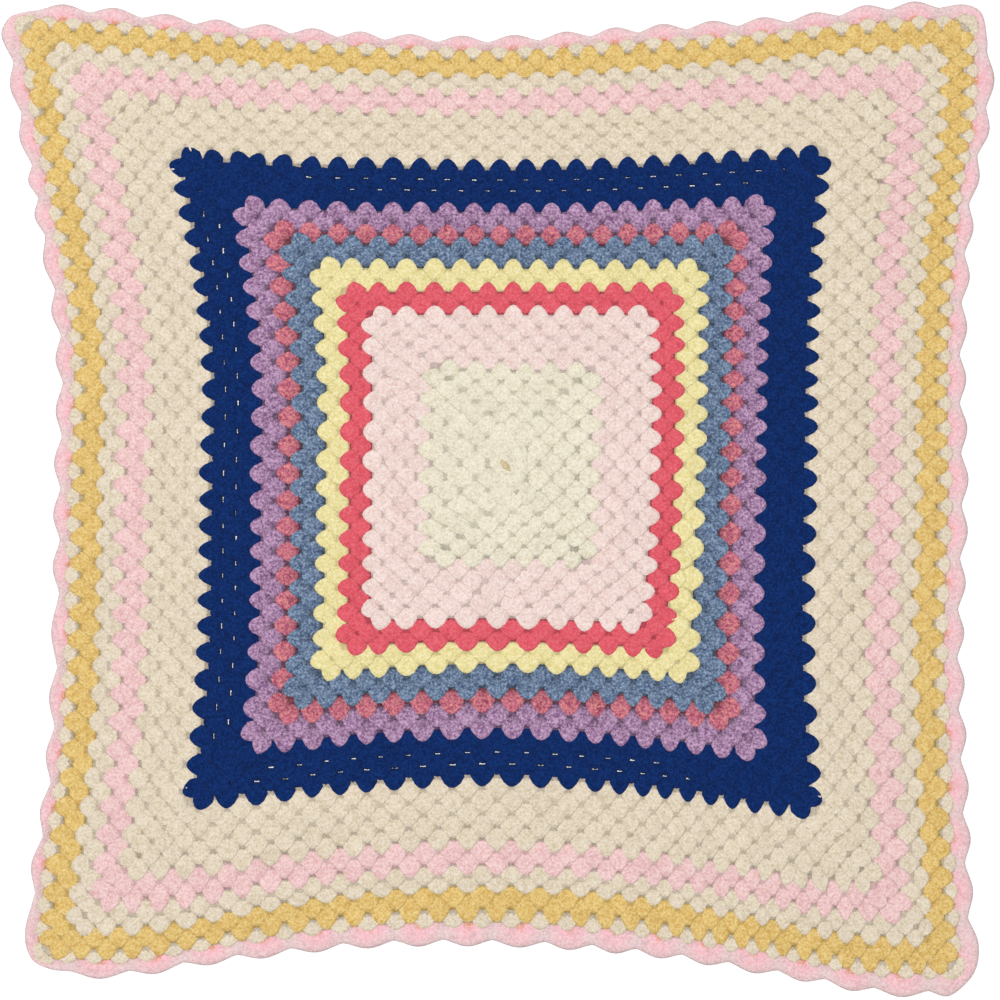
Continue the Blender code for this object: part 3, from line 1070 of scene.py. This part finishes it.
class BLANKET_OT_work_edging(bpy.types.Operator):
    """Work the scalloped edging: a shell over every second gap and a fan at each corner"""

    bl_idname = "blanket.work_edging"
    bl_label = "Work the shell edging"

    def execute(self, context):
        sizes = context.scene.blanket_stitches
        columns = edging_columns(sizes.shell_depth / MM)[::-1]
        points, plies, blushes, crests, foot_shadow_and_gold = [], [], [], [], []
        run = 0.0
        for i, (root, rim, offset) in enumerate(columns):
            run += (rim - columns[i - 1][1]).length if i else 0.0
            reach = (rim - root).length
            rise = min(max((abs(offset) - FOOT_FLAT) / FOOT_SLOPE, 0.0), 1.0)
            low = min(EDGING_OUT + EDGING_OUT_MORE * rise, EDGING_OUT_MOST * reach)
            profile = list(zip((0.0, EDGING_INSIDE, low), EDGING_ROOT))
            profile += [(low + (reach - low) * t, tall) for t, tall in EDGING_UPPER]
            blush = max(0.0, 1 - (offset / BLUSH_WIDTH) ** 2)
            # Painted shadow mixed with the gold that shows through, at the foot of each shell.
            foot = max(0.0, 1 - (abs(offset) / TINT_WIDTH) ** 4)
            level = (1 - EDGING_LOWEST) * (1 - DIP_DROP * abs(2 * offset) ** 3)
            points.append([])
            for d, tall in profile:
                height = EDGING_LOWEST + level * tall
                points[-1].append(in_frame(root.lerp(rim, d / reach), height * sizes.thickness))
                plies.append((run, d))
                blushes.append(blush * max(0.0, 1 - d / reach) ** 0.6)
                crests.append(height)
                outside = TINT_OUTSIDE if d < TINT_REACH * reach else 0.0
                foot_shadow_and_gold.append(foot * (1.0 if d <= low else outside))
        run += (columns[0][1] - columns[-1][1]).length
        mesh = loop_mesh(
            "shell_edging_round", points, plies, run, crest=crests, blush=blushes, foot=foot_shadow_and_gold
        )
        mesh.materials.append(yarn("shell_pink"))
        item = new_object("shell_edging_round", mesh)
        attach(item, "root")
        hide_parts("shell_edging")
        return {"FINISHED"}


class BLANKET_OT_set_stage(bpy.types.Operator):
    """Lay a pale floor and set soft light and a camera straight above"""

    bl_idname = "blanket.set_stage"
    bl_label = "Set the stage"

    def execute(self, context):
        stage = context.scene.blanket_stage
        half = stage.floor_size / 2
        mesh = bpy.data.meshes.new("studio_floor")
        corners = [(-half, -half, 0), (half, -half, 0), (half, half, 0), (-half, half, 0)]
        mesh.from_pydata(corners, [], [(0, 1, 2, 3)])
        floor = new_object("studio_floor", mesh)
        paper = bpy.data.materials.new("white_backdrop_paper")
        paper.use_nodes = True
        shader = paper.node_tree.nodes["Principled BSDF"]
        shader.inputs["Base Color"].default_value = (0.97, 0.97, 0.97, 1.0)
        shader.inputs["Roughness"].default_value = 1.0
        shader.inputs["Specular IOR Level"].default_value = 0.0
        mesh.materials.append(paper)

        world = bpy.data.worlds.new("studio_room")
        world.use_nodes = True
        room = world.node_tree.nodes["Background"]
        room.inputs["Color"].default_value = (1.0, 1.0, 1.0, 1.0)
        room.inputs["Strength"].default_value = stage.room_light
        context.scene.world = world

        for name, place, size, power in (
            ("softbox", (-1.3, 1.6, 2.6), 2.2, stage.softbox_power),
            ("overhead", (-0.6, 0.5, 7.0), 2.0, stage.overhead_power),
        ):
            light = bpy.data.lights.new(name, "AREA")
            light.shape = "SQUARE"
            light.size = size
            light.energy = power
            lamp = bpy.data.objects.new(name, light)
            lamp.location = place
            lamp.rotation_euler = (-lamp.location).to_track_quat("-Z", "Y").to_euler()
            context.scene.collection.objects.link(lamp)

        lens = bpy.data.cameras.new("camera")
        lens.sensor_width = 36.0
        lens.lens = lens.sensor_width * stage.camera_height / stage.picture_width
        camera = bpy.data.objects.new("camera", lens)
        camera.location = in_frame(Vector((0.0, 0.0)), stage.camera_height)
        context.scene.collection.objects.link(camera)
        context.scene.camera = camera
        context.scene.view_settings.view_transform = "Standard"
        return {"FINISHED"}


class BLANKET_PT_panel(bpy.types.Panel):
    """Lists the steps that make the blanket"""

    bl_idname = "BLANKET_PT_panel"
    bl_label = "Granny square blanket"
    bl_space_type = "VIEW_3D"
    bl_region_type = "UI"
    bl_category = "Blanket"

    def draw(self, context):
        scene = context.scene
        for group in (scene.blanket_stitches, scene.blanket_yarns, scene.blanket_stage):
            box = self.layout.box()
            for name in group.__annotations__:
                box.prop(group, name)
        for step in STEPS:
            self.layout.operator(step)


STEPS = ("blanket.set_stage", "blanket.work_rounds", "blanket.work_ring", "blanket.work_edging")
CLASSES = (
    BlanketYarns,
    BlanketStitches,
    BlanketStage,
    BLANKET_OT_set_stage,
    BLANKET_OT_work_rounds,
    BLANKET_OT_work_ring,
    BLANKET_OT_work_edging,
    BLANKET_PT_panel,
)


def register():
    for item in CLASSES:
        bpy.utils.register_class(item)
    bpy.types.Scene.blanket_yarns = PointerProperty(type=BlanketYarns)
    bpy.types.Scene.blanket_stitches = PointerProperty(type=BlanketStitches)
    bpy.types.Scene.blanket_stage = PointerProperty(type=BlanketStage)


def unregister():
    del bpy.types.Scene.blanket_stage
    del bpy.types.Scene.blanket_stitches
    del bpy.types.Scene.blanket_yarns
    for item in reversed(CLASSES):
        bpy.utils.unregister_class(item)


def main():
    register()
    for step in STEPS:
        group, name = step.split(".")
        getattr(getattr(bpy.ops, group), name)()


if __name__ == "__main__":
    main()
